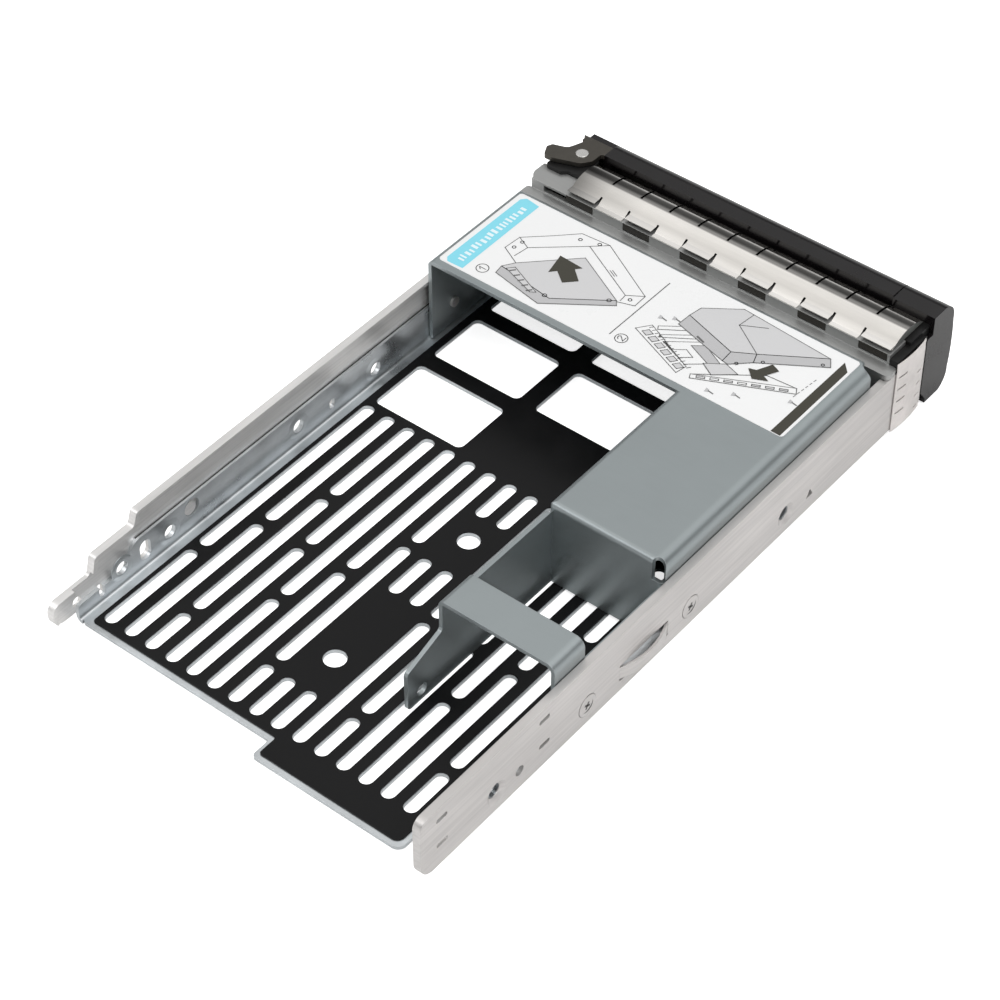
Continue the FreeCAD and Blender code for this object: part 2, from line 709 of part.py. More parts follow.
def front_panel():
    """Black moulding in front of the frame: a ribbed tray with a pivot block on the +X side."""
    half = rail_inner_x - 0.05
    low = floor_sheet
    top = frame_top_z
    body = box(-half, handle_far_x, panel_front_y, panel_rear_y, low, top)
    hollow = box(-half + panel_wall, handle_far_x - 1, panel_front_y + panel_wall, panel_rear_y + 1,
                 low + panel_wall, top - panel_wall)
    body = body.cut(hollow)
    block_low = arm_bottom_z + arm_sheet + seat_gap
    block_top = arm_top_z - arm_sheet - seat_gap
    block = plate([
        (handle_far_x, panel_rear_y, 0.0),
        (half, panel_rear_y, 1.5),
        (half, pivot_y, 0.0),
        (handle_far_x, pivot_y, 0.0),
    ], block_low, block_top)
    nose = rod(lug_radius - seat_gap, block_top - block_low, V(pivot_x, pivot_y, block_low), V(0, 0, 1))
    roof = plate([
        (half, roof_rear_y, 1.0),
        (half, pivot_y, 0.0),
        (handle_far_x + seat_gap, pivot_y, 0.0),
        (handle_far_x + seat_gap, roof_rear_y - 5.3, 0.0),
        (handle_far_x + seat_gap + 5.3, roof_rear_y, 0.5),
    ], frame_top_z + 0.05, block_top)
    ear_end_x = ear_x - 0.05
    ear_rear_y = frame_step_y - 0.05
    ear_z = near_rail_top_z + 0.1
    ear = box(-rail_outer_x, ear_end_x, rail_front_y + 0.05, ear_rear_y, ear_z, ear_top_z)
    ear_root = box(-half, ear_end_x, panel_rear_y - 1, ear_rear_y, ear_z, ear_top_z)
    body = fuse([body, block, nose, roof, ear, ear_root])
    cuts = [rod(pin_radius + pin_clearance, handle_top_z, V(pivot_x, pivot_y, 0), V(0, 0, 1))]
    cuts.append(rod(cavity_radius, cavity_height, V(pivot_x, pivot_y, cavity_low_z), V(0, 0, 1)))
    pitch = (handle_far_x - handle_near_x) / handle_slot_count
    for i in range(handle_slot_count):
        x = handle_near_x + pitch * (i + 0.5)
        window = rectangle(x - handle_slot_width / 2, x + handle_slot_width / 2, 6.0, 20.0, 1.0)
        cuts.append(front_plate(window, panel_front_y - 1, panel_front_y + panel_wall + 1))
    cuts.extend(pipe_room())
    return body.cut(Part.makeCompound(cuts))


# ---------------------------------------------------------------- handle, end block and lever
def bezel(x0, x1, rear_y, inset):
    """A bar along X with the crowned front, drawn in by inset at its top, bottom and front."""
    top = handle_top_z - inset
    bottom = handle_bottom_z + inset
    front = handle_front_y + inset
    cheek = front + crown_depth
    diagonal = inset * 0.3
    high = V(x0, cheek, crown_middle_z + crown_half)
    low = V(x0, cheek, crown_middle_z - crown_half)
    shoulder = V(x0, handle_front_y + shoulder_reach, top)
    heel = V(x0, handle_front_y + heel_reach, bottom)
    edges = [
        Part.LineSegment(V(x0, rear_y, bottom), V(x0, rear_y, top)).toShape(),
        Part.LineSegment(V(x0, rear_y, top), shoulder).toShape(),
        Part.Arc(shoulder, V(x0, cheek + 1.1 - diagonal, top - 1.7 + diagonal), high).toShape(),
        Part.Arc(high, V(x0, front, crown_middle_z), low).toShape(),
        Part.Arc(low, V(x0, cheek + 0.9 - diagonal, bottom + 1.6 - diagonal), heel).toShape(),
        Part.LineSegment(heel, V(x0, rear_y, bottom)).toShape(),
    ]
    return Part.Face(Part.Wire(edges)).extrude(V(x1 - x0, 0, 0))


def latch_box(clearance):
    """Where the latch slide lies at rest, and the room it needs when it is drawn back."""
    low = latch_low_x - (latch_travel + clearance if clearance else 0)
    return box(low, latch_high_x + 2 * clearance, latch_front_y - clearance, latch_rear_y + clearance,
               button_middle_z - latch_height / 2 - clearance, button_middle_z + latch_height / 2 + clearance)


def pipe_room():
    """Grooves open to the side in which the two light pipes lie."""
    groove_x = -rail_inner_x + pipe_gap + pipe_width + pipe_clearance
    half = pipe_height / 2 + pipe_clearance
    return [
        box(-rail_outer_x, groove_x, panel_front_y - 1, frame_rear_y + 1, z - half, z + half)
        for z in (pipe_upper_z, pipe_lower_z)
    ]


def lever_handle():
    shell = bezel(handle_near_x, handle_far_x, handle_rear_y, 0.0)
    hollow = bezel(handle_near_x + handle_wall, handle_far_x - handle_wall, handle_rear_y + 1, handle_wall)
    shell = shell.cut(hollow)
    nose = bezel(handle_far_x - handle_wall, web_far_x, handle_rear_y, 0.0)
    keep = box(0, frame_half_width, web_front_y, handle_front_y - 1, arm_bottom_z + arm_sheet,
               arm_top_z - arm_sheet)
    lip = box(handle_near_x + handle_wall, web_end_x, handle_rear_y, handle_rear_y - handle_lip,
              handle_lip_z, handle_top_z - handle_wall)
    shell = fuse([shell, lip, nose.common(keep)])
    cuts = []
    pitch = (handle_far_x - handle_near_x) / handle_slot_count
    for i in range(handle_slot_count):
        x = handle_near_x + pitch * (i + 0.5)
        window = rectangle(x - handle_slot_width / 2, x + handle_slot_width / 2,
                           button_middle_z - handle_slot_height / 2, button_middle_z + handle_slot_height / 2,
                           handle_slot_corner)
        cuts.append(front_plate(window, handle_front_y + 2 * handle_wall + 1, handle_front_y - 1))
    cuts.append(box(web_end_x, web_far_x, web_front_y, web_front_y + arm_sheet, arm_bottom_z, web_top_z))
    cuts.append(latch_box(latch_clearance))
    return shell.cut(Part.makeCompound(cuts))


def lever_arm():
    """Bent steel lever: a claw plate on top, a round lug below, and the web that joins them."""
    outline = [(handle_far_x, claw_front_y, 0.0), (handle_far_x, handle_rear_y, 0.3),
               (pivot_x + claw_back[0][0], handle_rear_y, 0.6)]
    outline.extend((pivot_x + x, pivot_y + y, corner) for x, y, corner in claw_back)
    outline.extend((claw_tip_x + x, pivot_y + y, corner) for x, y, corner in claw_hook)
    outline.append((pivot_x + claw_horn_root[0], pivot_y + claw_horn_root[1], claw_horn_root[2]))
    outline.append((pivot_x + claw_horn_x, claw_front_y, 0.2))
    claw = plate(outline, arm_top_z - arm_sheet, arm_top_z)
    foot_top = arm_bottom_z + arm_sheet
    lug = rod(lug_radius, arm_sheet, V(pivot_x, pivot_y, arm_bottom_z), V(0, 0, 1))
    foot = box(web_end_x, web_far_x, web_front_y, web_front_y + arm_sheet, arm_bottom_z, foot_top)
    foot_lug = box(pivot_x - lug_radius, web_far_x, web_front_y, pivot_y, arm_bottom_z, foot_top)
    web = box(web_end_x, web_far_x, web_front_y, web_front_y + arm_sheet, arm_bottom_z, web_top_z)
    web_end = box(handle_far_x, web_far_x, web_front_y, web_front_y + arm_sheet, arm_bottom_z, arm_top_z)
    body = fuse([claw, web, web_end, lug, foot, foot_lug])
    bore = rod(pin_radius, handle_top_z, V(pivot_x, pivot_y, 0), V(0, 0, 1))
    vent = front_plate(rectangle(web_end_x + 3, handle_far_x - 3, arm_bottom_z + 4.4, arm_top_z - 6.6, 1.5),
                       web_front_y - 1, web_front_y + arm_sheet + 1)
    return body.cut(bore).cut(vent)


def lever_pivot_pin():
    shank = rod(pin_radius, arm_top_z - arm_bottom_z, V(pivot_x, pivot_y, arm_bottom_z), V(0, 0, 1))
    head = rod(pin_head_radius, pin_head_height, V(pivot_x, pivot_y, arm_top_z), V(0, 0, 1))
    return fuse([shank, head.makeFillet(pin_head_height / 2, [head.Edges[0]])])


def button_outline(grow):
    half = button_width / 2 + grow
    tall = button_height / 2 + grow
    return rectangle(button_x - half, button_x + half, button_middle_z - tall, button_middle_z + tall,
                     button_corner + grow)


def bezel_end_block():
    body = bezel(end_block_x, handle_near_x - end_block_gap, panel_front_y, 0.0)
    cheek = side_plate([
        (panel_front_y - 1, cheek_top_z, 0.0),
        (cheek_rear_y, cheek_top_z, 0.6),
        (cheek_rear_y, handle_bottom_z + 4.6, 0.6),
        (panel_front_y - 1, handle_bottom_z, 0.0),
    ], end_block_x, -rail_inner_x)
    body = fuse([body, cheek])
    hollow = front_plate(button_outline(button_clearance), panel_front_y + 1, handle_front_y - 1)
    cuts = [hollow, latch_box(latch_clearance)]
    for z in (pipe_upper_z, pipe_lower_z):
        x = -rail_inner_x + pipe_gap
        half = pipe_height / 2 + pipe_clearance
        cuts.append(box(x - pipe_clearance, x + pipe_width + pipe_clearance,
                        panel_front_y + 1, handle_front_y - 1, z - half, z + half))
    return body.cut(Part.makeCompound(cuts))


def release_button():
    """The button's rear face stops against the latch slide's front when it is pressed home."""
    front = bezel(button_x - button_width / 2, button_x + button_width / 2, handle_rear_y, 0.0)
    body = front.common(front_plate(button_outline(0.0), button_rear_y, handle_front_y - 1))
    bore = rod(spring_radius + spring_wire, button_bore_depth, V(button_x, button_rear_y, button_middle_z),
               V(0, -1, 0))
    return body.cut(bore)


def coil(radius, wire, turns, pitch, start, direction):
    """A compression spring: a round wire swept along a helix."""
    helix = Part.makeHelix(pitch, pitch * turns, radius)
    profile = Part.Wire(Part.makeCircle(wire / 2, V(radius, 0, 0), V(0, 1, 0)))
    pipe = Part.Wire(helix).makePipeShell([profile], True, True)
    turn = FreeCAD.Rotation(V(0, 0, 1), direction)
    pipe.Placement = FreeCAD.Placement(start, turn)
    return pipe


def button_spring():
    """The return spring, at the length it has when the button is pressed home."""
    start_y = panel_front_y - spring_wire / 2
    end_y = button_rear_y + button_travel - button_bore_depth + spring_wire / 2
    length = start_y - end_y
    start = V(button_x, start_y, button_middle_z)
    return coil(spring_radius, spring_wire, spring_turns, length / spring_turns, start, V(0, -1, 0))


def lever_spring():
    wire = lever_spring_wire
    length = cavity_height - wire
    start = V(pivot_x, pivot_y, cavity_low_z + wire / 2)
    radius = (pin_radius + cavity_radius) / 2
    return coil(radius, wire, lever_spring_turns, length / lever_spring_turns, start, V(0, 0, 1))


def latch_slide():
    """Flat catch that slides along X behind the button and into the notch in the handle's end."""
    body = latch_box(0)
    nose = []
    for edge in body.Edges:
        middle = edge.CenterOfMass
        if abs(middle.x - latch_high_x) < 0.01 and abs(middle.z - button_middle_z) < 0.01:
            nose.append(edge)
    return body.makeChamfer(0.4, nose)


# ---------------------------------------------------------------- spring finger strips
def strip_arc(x0, x1, rear_y, rear_z, front_y, front_z, crest_z):
    """A thin crowned strip from its rear foot over the crest to its front foot."""
    middle_y = (rear_y + front_y) / 2
    outer = Part.Arc(V(x0, rear_y, rear_z), V(x0, middle_y, crest_z), V(x0, front_y, front_z)).toShape()
    inner = Part.Arc(V(x0, rear_y, rear_z - strip_sheet * 1.1), V(x0, middle_y, crest_z - strip_sheet),
                     V(x0, front_y, front_z - strip_sheet * 1.1)).toShape()
    side_a = Part.LineSegment(V(x0, rear_y, rear_z), V(x0, rear_y, rear_z - strip_sheet * 1.1)).toShape()
    side_b = Part.LineSegment(V(x0, front_y, front_z), V(x0, front_y, front_z - strip_sheet * 1.1)).toShape()
    return Part.Face(Part.Wire(Part.__sortEdges__([outer, side_b, inner, side_a]))).extrude(V(x1 - x0, 0, 0))


def top_finger_strip():
    """Crowned strip: every other finger ends in a raised tab, the rest lie on the frame."""
    foot_z = frame_top_z + strip_sheet * 1.1
    strip = strip_arc(strip_near_x, strip_far_x, strip_rear_y, foot_z, strip_front_y, foot_z, strip_crest_z)
    half_chord = (strip_rear_y - strip_front_y) / 2
    rise = strip_crest_z - foot_z
    radius = (half_chord ** 2 + rise ** 2) / (2 * rise)
    tab_root_y = strip_rear_y - tab_root
    reach = tab_root_y - (strip_rear_y + strip_front_y) / 2
    tab_z = strip_crest_z - radius + math.sqrt(radius ** 2 - reach ** 2)
    cuts = []
    tabs = []
    for i in range(finger_count):
        far = strip_far_x - finger_pitch * i
        near = far - finger_pitch
        if i > 0:
            low = far - finger_slit / 2
            high = far + finger_slit / 2
            cuts.append(box(low, high, strip_front_y - 1, strip_front_y + front_slit_length, frame_top_z, 30))
            cuts.append(box(low, high, strip_rear_y - rear_slit_length, strip_rear_y + 1, frame_top_z, 30))
        x0 = near + (finger_slit / 2 if i < finger_count - 1 else 0)
        x1 = far - (finger_slit / 2 if i > 0 else 0)
        if i % 2 == 0:
            cuts.append(box(x0 - 0.05, x1 + 0.05, tab_root_y, strip_rear_y + 1, frame_top_z, tab_z + 1))
            tabs.append(box(x0, x1, tab_root_y - 0.3, raised_tab_y, tab_z - strip_sheet, tab_z))
        else:
            tabs.append(box(x0, x1, strip_rear_y, frame_step_y - 0.1, frame_top_z, foot_z))
    end_cap = strip_end_cap(foot_z)
    return fuse([strip.cut(Part.makeCompound(cuts))] + tabs + [end_cap])


def strip_end_cap(foot_z):
    """The thin wall that closes the arch at its -X end."""
    x = strip_near_x
    middle_y = (strip_rear_y + strip_front_y) / 2
    rear = V(x, strip_rear_y, foot_z)
    front = V(x, strip_front_y, foot_z)
    arch = Part.Arc(rear, V(x, middle_y, strip_crest_z), front).toShape()
    chord = Part.LineSegment(front, rear).toShape()
    return Part.Face(Part.Wire([arch, chord])).extrude(V(strip_sheet, 0, 0))


def side_finger_strip():
    """The same spring sheet on the outside of the -X rail, slit from both edges."""
    x = -rail_outer_x
    middle = (side_strip_rear_y + side_strip_front_y) / 2

    def curve(y0, y1, crest_x):
        return Part.Arc(V(x, y0, side_strip_low_z), V(crest_x, middle, side_strip_low_z),
                        V(x, y1, side_strip_low_z)).toShape()

    outer = curve(side_strip_rear_y, side_strip_front_y, x - side_strip_crown)
    inner = curve(side_strip_rear_y - 0.5, side_strip_front_y + 0.5, x - side_strip_crown + strip_sheet)
    edges = [outer, inner]
    for a, b in zip(outer.Vertexes, inner.Vertexes):
        edges.append(Part.LineSegment(a.Point, b.Point).toShape())
    face = Part.Face(Part.Wire(Part.__sortEdges__(edges)))
    strip = face.extrude(V(0, 0, side_strip_top_z - side_strip_low_z))
    pitch = (side_strip_top_z - side_strip_low_z) / side_finger_count
    cuts = []
    for i in range(1, side_finger_count):
        z = side_strip_low_z + pitch * i
        for y, inward in ((side_strip_rear_y, -side_slit_length), (side_strip_front_y, side_slit_length)):
            cuts.append(box(x - 3, x + 0.5, y - inward / 3, y + inward, z - side_slit / 2, z + side_slit / 2))
    return strip.cut(Part.makeCompound(cuts))


# ---------------------------------------------------------------- light pipes and screws
def light_pipe(z):
    """A clear bar from the -X rail's rear rim, along its inner face, to its lens in the front."""
    x = -rail_inner_x + pipe_gap
    rear = near_rail_rear_y - rail_sheet - pipe_end_gap
    half = pipe_height / 2
    return box(x, x + pipe_width, handle_front_y + pipe_recess, rear, z - half, z + half)


def bracket_screws():
    """Countersunk screws through the rails' holes into the bracket's walls."""
    screws = []
    for side, y in screw_places:
        start = V(side * rail_outer_x, y, hole_z)
        length = rail_outer_x - bracket_half + bracket_sheet + 0.6
        shank = rod(screw_radius, length, start, V(-side, 0, 0))
        head = Part.makeCone(dimple_hole_radius + 1.1, screw_radius, 0.8, start, V(-side, 0, 0))
        screws.append(fuse([shank, head]))
    return screws


# ---------------------------------------------------------------- build
os.makedirs("parts", exist_ok=True)
nodes = {
    "base_plate": base_plate(),
    "insulating_film": insulating_film(),
    "side_rail_near": side_rail(-1),
    "side_rail_far": side_rail(1),
    "adapter_bracket": adapter_bracket(),
    "bracket_label": bracket_label(),
    "front_frame": front_frame(),
    "front_panel": front_panel(),
    "lever_handle": lever_handle(),
    "lever_arm": lever_arm(),
    "lever_pivot_pin": lever_pivot_pin(),
    "lever_spring": lever_spring(),
    "bezel_end_block": bezel_end_block(),
    "release_button": release_button(),
    "button_spring": button_spring(),
    "latch_slide": latch_slide(),
    "top_finger_strip": top_finger_strip(),
    "side_finger_strip": side_finger_strip(),
    "light_pipe_upper": light_pipe(pipe_upper_z),
    "light_pipe_lower": light_pipe(pipe_lower_z),
    "bracket_screws": Part.makeCompound(bracket_screws()),
}
whole = Part.makeCompound(list(nodes.values())).BoundBox
print("box", whole)
for name, shape in nodes.items():
    write(name, shape)
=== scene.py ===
import math
import random

import bmesh
import bpy
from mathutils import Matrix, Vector


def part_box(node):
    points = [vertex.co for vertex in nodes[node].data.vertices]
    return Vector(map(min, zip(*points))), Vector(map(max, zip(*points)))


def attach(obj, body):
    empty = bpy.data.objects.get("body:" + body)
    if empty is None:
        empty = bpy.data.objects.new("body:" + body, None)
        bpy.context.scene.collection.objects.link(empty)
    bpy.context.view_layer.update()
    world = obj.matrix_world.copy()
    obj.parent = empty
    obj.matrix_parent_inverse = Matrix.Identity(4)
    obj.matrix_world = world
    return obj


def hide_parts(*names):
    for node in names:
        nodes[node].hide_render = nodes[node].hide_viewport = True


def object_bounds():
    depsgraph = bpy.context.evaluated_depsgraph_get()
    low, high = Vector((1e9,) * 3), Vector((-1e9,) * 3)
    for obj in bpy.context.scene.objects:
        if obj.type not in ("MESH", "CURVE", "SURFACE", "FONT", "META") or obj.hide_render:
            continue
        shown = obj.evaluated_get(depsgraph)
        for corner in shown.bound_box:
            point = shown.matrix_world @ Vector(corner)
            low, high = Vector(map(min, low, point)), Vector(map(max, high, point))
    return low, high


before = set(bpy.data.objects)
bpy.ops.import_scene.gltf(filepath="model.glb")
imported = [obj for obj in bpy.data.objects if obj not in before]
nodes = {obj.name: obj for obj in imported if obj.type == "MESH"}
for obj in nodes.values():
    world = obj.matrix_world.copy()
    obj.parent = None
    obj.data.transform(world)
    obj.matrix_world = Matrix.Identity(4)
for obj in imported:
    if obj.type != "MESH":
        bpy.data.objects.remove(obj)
cad_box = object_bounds()


# ---------------------------------------------------------------- base plate
# The caddy's floor: one sheet of bright zinc plated steel, punched with long slots and windows and
# folded up along both sides. The plating is faintly bluish and a little cloudy.

def coordinates(tree, stretch):
    """The surface's own coordinates, scaled along each axis."""
    place = tree.nodes.new("ShaderNodeTexCoord")
    scale = tree.nodes.new("ShaderNodeMapping")
    scale.inputs["Scale"].default_value = stretch
    tree.links.new(place.outputs["Object"], scale.inputs["Vector"])
    return scale.outputs["Vector"]


def noise(tree, stretch, detail=3.0, roughness=0.55):
    """A cloudy grey value that runs over the surface."""
    grain = tree.nodes.new("ShaderNodeTexNoise")
    grain.inputs["Scale"].default_value = 1.0
    grain.inputs["Detail"].default_value = detail
    grain.inputs["Roughness"].default_value = roughness
    tree.links.new(coordinates(tree, stretch), grain.inputs["Vector"])
    return grain.outputs["Fac"]


def ramp(tree, source, low, high, start=0.3, end=0.7):
    """Turns a grey value into a run from one colour to another."""
    tones = tree.nodes.new("ShaderNodeValToRGB")
    tones.color_ramp.elements[0].position = start
    tones.color_ramp.elements[1].position = end
    tones.color_ramp.elements[0].color = (*low, 1)
    tones.color_ramp.elements[1].color = (*high, 1)
    tree.links.new(source, tones.inputs["Fac"])
    return tones.outputs["Color"]


def lift(colour, factor):
    """The colour made lighter or darker by a factor."""
    return tuple(min(1.0, c * factor) for c in colour)


def soft_edges(tree, shader, radius, height=None, strength=0.1, distance=0.0001):
    """Rounds the look of the sheared edges, and adds a fine relief where there is one."""
    edge = tree.nodes.new("ShaderNodeBevel")
    edge.samples = 4
    edge.inputs["Radius"].default_value = radius
    normal = edge.outputs["Normal"]
    if height is not None:
        bump = tree.nodes.new("ShaderNodeBump")
        bump.inputs["Strength"].default_value = strength
        bump.inputs["Distance"].default_value = distance
        tree.links.new(height, bump.inputs["Height"])
        tree.links.new(normal, bump.inputs["Normal"])
        normal = bump.outputs["Normal"]
    tree.links.new(normal, shader.inputs["Normal"])


def plated_sheet(name, colour, metal, gloss_low, gloss_high, streaks, cloud=(60, 60, 60),
                 spread=0.10, edge=0.00018, drawn=0.45):
    """Plated or rolled sheet steel: cloudy colour, fine drawn streaks and an uneven sheen.

    The sheen runs from gloss_low to gloss_high, and drawn is the streaks' share of it.
    """
    material = bpy.data.materials.new(name)
    material.use_nodes = True
    tree = material.node_tree
    shader = tree.nodes["Principled BSDF"]
    shader.inputs["Metallic"].default_value = metal
    clouds = noise(tree, cloud, 4.0, 0.6)
    lines = noise(tree, streaks, 2.0, 0.5)
    both = tree.nodes.new("ShaderNodeMath")
    both.operation = "MULTIPLY_ADD"
    both.inputs[1].default_value = drawn
    tree.links.new(lines, both.inputs[0])
    part = tree.nodes.new("ShaderNodeMath")
    part.operation = "MULTIPLY"
    part.inputs[1].default_value = 1 - drawn
    tree.links.new(clouds, part.inputs[0])
    tree.links.new(part.outputs[0], both.inputs[2])
    tones = ramp(tree, both.outputs[0], lift(colour, 1 - spread), lift(colour, 1 + spread))
    tree.links.new(tones, shader.inputs["Base Color"])
    sheen = tree.nodes.new("ShaderNodeMapRange")
    sheen.inputs["From Min"].default_value = 0.3
    sheen.inputs["From Max"].default_value = 0.7
    sheen.inputs["To Min"].default_value = gloss_low
    sheen.inputs["To Max"].default_value = gloss_high
    tree.links.new(both.outputs[0], sheen.inputs["Value"])
    tree.links.new(sheen.outputs["Result"], shader.inputs["Roughness"])
    soft_edges(tree, shader, edge, lines, 0.06, 0.00005)
    return material


def finish_with(node, material):
    """Gives a whole node one finish."""
    mesh = nodes[node].data
    mesh.materials.clear()
    mesh.materials.append(material)


def seam_shadow(material, low_z, side_x):
    """Paints shade on the sheet above a height and outside a width: the contact shadow where two
    sheets meet.
    """
    tree = material.node_tree
    shader = tree.nodes["Principled BSDF"]
    place = tree.nodes.new("ShaderNodeTexCoord")
    split = tree.nodes.new("ShaderNodeSeparateXYZ")
    tree.links.new(place.outputs["Object"], split.inputs[0])
    distance = tree.nodes.new("ShaderNodeMath")
    distance.operation = "ABSOLUTE"
    tree.links.new(split.outputs["X"], distance.inputs[0])
    outside = tree.nodes.new("ShaderNodeMath")
    outside.operation = "GREATER_THAN"
    outside.inputs[1].default_value = side_x
    tree.links.new(distance.outputs[0], outside.inputs[0])
    high = tree.nodes.new("ShaderNodeMath")
    high.operation = "GREATER_THAN"
    high.inputs[1].default_value = low_z
    tree.links.new(split.outputs["Z"], high.inputs[0])
    both = tree.nodes.new("ShaderNodeMath")
    both.operation = "MULTIPLY"
    tree.links.new(outside.outputs[0], both.inputs[0])
    tree.links.new(high.outputs[0], both.inputs[1])
    shade = tree.nodes.new("ShaderNodeMix")
    shade.data_type = "RGBA"
    shade.inputs["B"].default_value = (0.03, 0.03, 0.03, 1)
    tree.links.new(both.outputs[0], shade.inputs["Factor"])
    colour = shader.inputs["Base Color"].links[0].from_socket
    tree.links.new(colour, shade.inputs["A"])
    tree.links.new(shade.outputs["Result"], shader.inputs["Base Color"])


zinc = plated_sheet("zinc_plate", (0.62, 0.65, 0.67), 0.88, 0.22, 0.42, (700, 60, 700),
                    (70, 60, 70), 0.26, drawn=0.12)
# painted shade: the outer strip of the flanges' top edges, next to the rails, darkened as a contact
# shadow
seam_shadow(zinc, low_z=0.01012, side_x=0.0516)
finish_with("base_plate", zinc)


# ---------------------------------------------------------------- insulating film
# A thin black film stuck to the floor's inner face, cut with the same slots and windows. It is
# polyester with a fine satin face.

def moulded(name, colour, roughness, grain=4000, strength=0.12, distance=0.00003, edge=0.0002,
            level=0.5, spread=0.18):
    """Moulded or rolled plastic with a fine even texture and faint handling marks."""
    material = bpy.data.materials.new(name)
    material.use_nodes = True
    tree = material.node_tree
    shader = tree.nodes["Principled BSDF"]
    shader.inputs["Specular IOR Level"].default_value = level
    marks = noise(tree, (90, 90, 90), 5.0, 0.65)
    tones = ramp(tree, marks, lift(colour, 1 - spread), lift(colour, 1 + spread))
    tree.links.new(tones, shader.inputs["Base Color"])
    uneven = 0.06
    sheen = tree.nodes.new("ShaderNodeMapRange")
    sheen.inputs["From Min"].default_value = 0.3
    sheen.inputs["From Max"].default_value = 0.7
    sheen.inputs["To Min"].default_value = roughness - uneven
    sheen.inputs["To Max"].default_value = roughness + uneven
    tree.links.new(marks, sheen.inputs["Value"])
    tree.links.new(sheen.outputs["Result"], shader.inputs["Roughness"])
    soft_edges(tree, shader, edge, noise(tree, (grain, grain, grain), 2.0, 0.5), strength, distance)
    return material


film = moulded("insulating_film", (0.006, 0.006, 0.0065), 0.38, edge=0.0001, level=0.18)
finish_with("insulating_film", film)


# ---------------------------------------------------------------- side rails
# Two drawn steel rails, warm grey and satin, with rolled streaks along their length. Each keeps a
# bowed leaf between two slits. The +X rail is the brighter of the two.

rolled = (500, 35, 1400)
patches = (45, 22, 90)
rail_finish = plated_sheet("rail_sheet", (0.66, 0.64, 0.63), 0.80, 0.34, 0.50,
                           rolled, patches, 0.16)
finish_with("side_rail_near", rail_finish)
far_rail_finish = plated_sheet("far_rail_sheet", (0.84, 0.83, 0.82), 0.72, 0.34, 0.50,
                               rolled, patches, 0.16)
finish_with("side_rail_far", far_rail_finish)


# ---------------------------------------------------------------- adapter bracket
# One folded sheet of bluish plated steel that stands in for the larger drive: a deck across the
# front, a channel, a strap and the leg the small drive is screwed to.

bracket_finish = plated_sheet("bracket_sheet", (0.36, 0.398, 0.408), 0.82, 0.32, 0.42,
                              (60, 700, 700), (28, 28, 28), 0.07, drawn=0.12)
finish_with("adapter_bracket", bracket_finish)


# ---------------------------------------------------------------- label on the deck
# A glossy white paper label that covers the deck. Two plain assembly pictures are printed on it in
# grey line work, with a pale blue band at one end and a dark bar at the other.

label_paper = moulded("label_paper", (0.89, 0.895, 0.90), 0.32, 2500, 0.05, level=0.35,
                      spread=0.008)
finish_with("bracket_label", label_paper)

label_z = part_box("bracket_label")[1][2]
print_start = 34                  # how far in front of the part's middle the print starts, in mm
print_lift = 0.00002              # between one layer of ink and the next
line_width = 0.0002
inks = {
    "blue": (0.25, 0.72, 0.86),
    "pale": (0.80, 0.93, 0.97),
    "grey": (0.52, 0.52, 0.53),
    "light": (0.64, 0.64, 0.65),
    "white": (0.89, 0.895, 0.90),
    "line": (0.14, 0.14, 0.14),
    "dark": (0.05, 0.047, 0.035),
}
prints = {name: bmesh.new() for name in inks}


def printed(ink, points, layer):
    """A flat printed shape. Each point gives mm to the front from the print's start, then to +X."""
    mesh = prints[ink]
    z = label_z + print_lift * layer
    corners = [mesh.verts.new((v / 1000, -(u + print_start) / 1000, z)) for u, v in points]
    mesh.faces.new(corners)


def printed_line(points, layer, ink="line", width=line_width, closed=False):
    """A printed line through the points."""
    path = [Vector(p) for p in points]
    if closed:
        path.append(path[0])
    half = width * 500            # half of the width, in mm
    for a, b in zip(path, path[1:]):
        along = (b - a).normalized()
        side = Vector((-along.y, along.x)) * half
        end = along * half
        printed(ink, (a - end - side, b + end - side, b + end + side, a - end + side), layer)


def outlined(points, layer, ink="white"):
    """A flat printed shape with a line round it."""
    printed(ink, points, layer)
    printed_line(points, layer + 1, closed=True)


def ring(middle, radius, layer):
    """A printed circle."""
    steps = 24
    circle = [(middle[0] + radius * math.cos(2 * math.pi * k / steps),
               middle[1] + radius * math.sin(2 * math.pi * k / steps)) for k in range(steps)]
    printed_line(circle, layer, closed=True)


def between(a, b, c, s, t):
    """The point a share s along from a to b and t along from a to c."""
    return tuple(a[i] + (b[i] - a[i]) * s + (c[i] - a[i]) * t for i in range(2))


def patch(corners, s_low, s_high, t_low, t_high):
    """A four-sided share of a four-sided shape, measured along its fourth and second corners."""
    first, second, _, fourth = corners
    return [between(first, fourth, second, s, t)
            for s, t in ((s_low, t_low), (s_high, t_low), (s_high, t_high), (s_low, t_high))]


def drawn_piece(name, mesh, material):
    """Turns a mesh that is drawn here into a piece with one finish."""
    data = bpy.data.meshes.new(name)
    mesh.to_mesh(data)
    mesh.free()
    data.materials.append(material)
    piece = bpy.data.objects.new(name, data)
    bpy.context.scene.collection.objects.link(piece)
    return piece


def pale_band():
    """The band at the +X end, with a row of short plain dashes."""
    printed("blue", [(1.4, 48.0), (0.2, 47.0), (0.4, 42.6), (29.2, 42.7), (29.8, 46.8),
                     (28.6, 47.9)], 1)
    random.seed(4)
    u = 2.4
    while u < 26.6:
        width = random.uniform(0.5, 0.9)
        low = 44.0 + random.uniform(0.0, 0.4)
        high = low + random.uniform(1.4, 2.0)
        printed("pale", [(u, low), (u + width, low), (u + width, high), (u, high)], 2)
        u += width + random.uniform(0.5, 0.9)


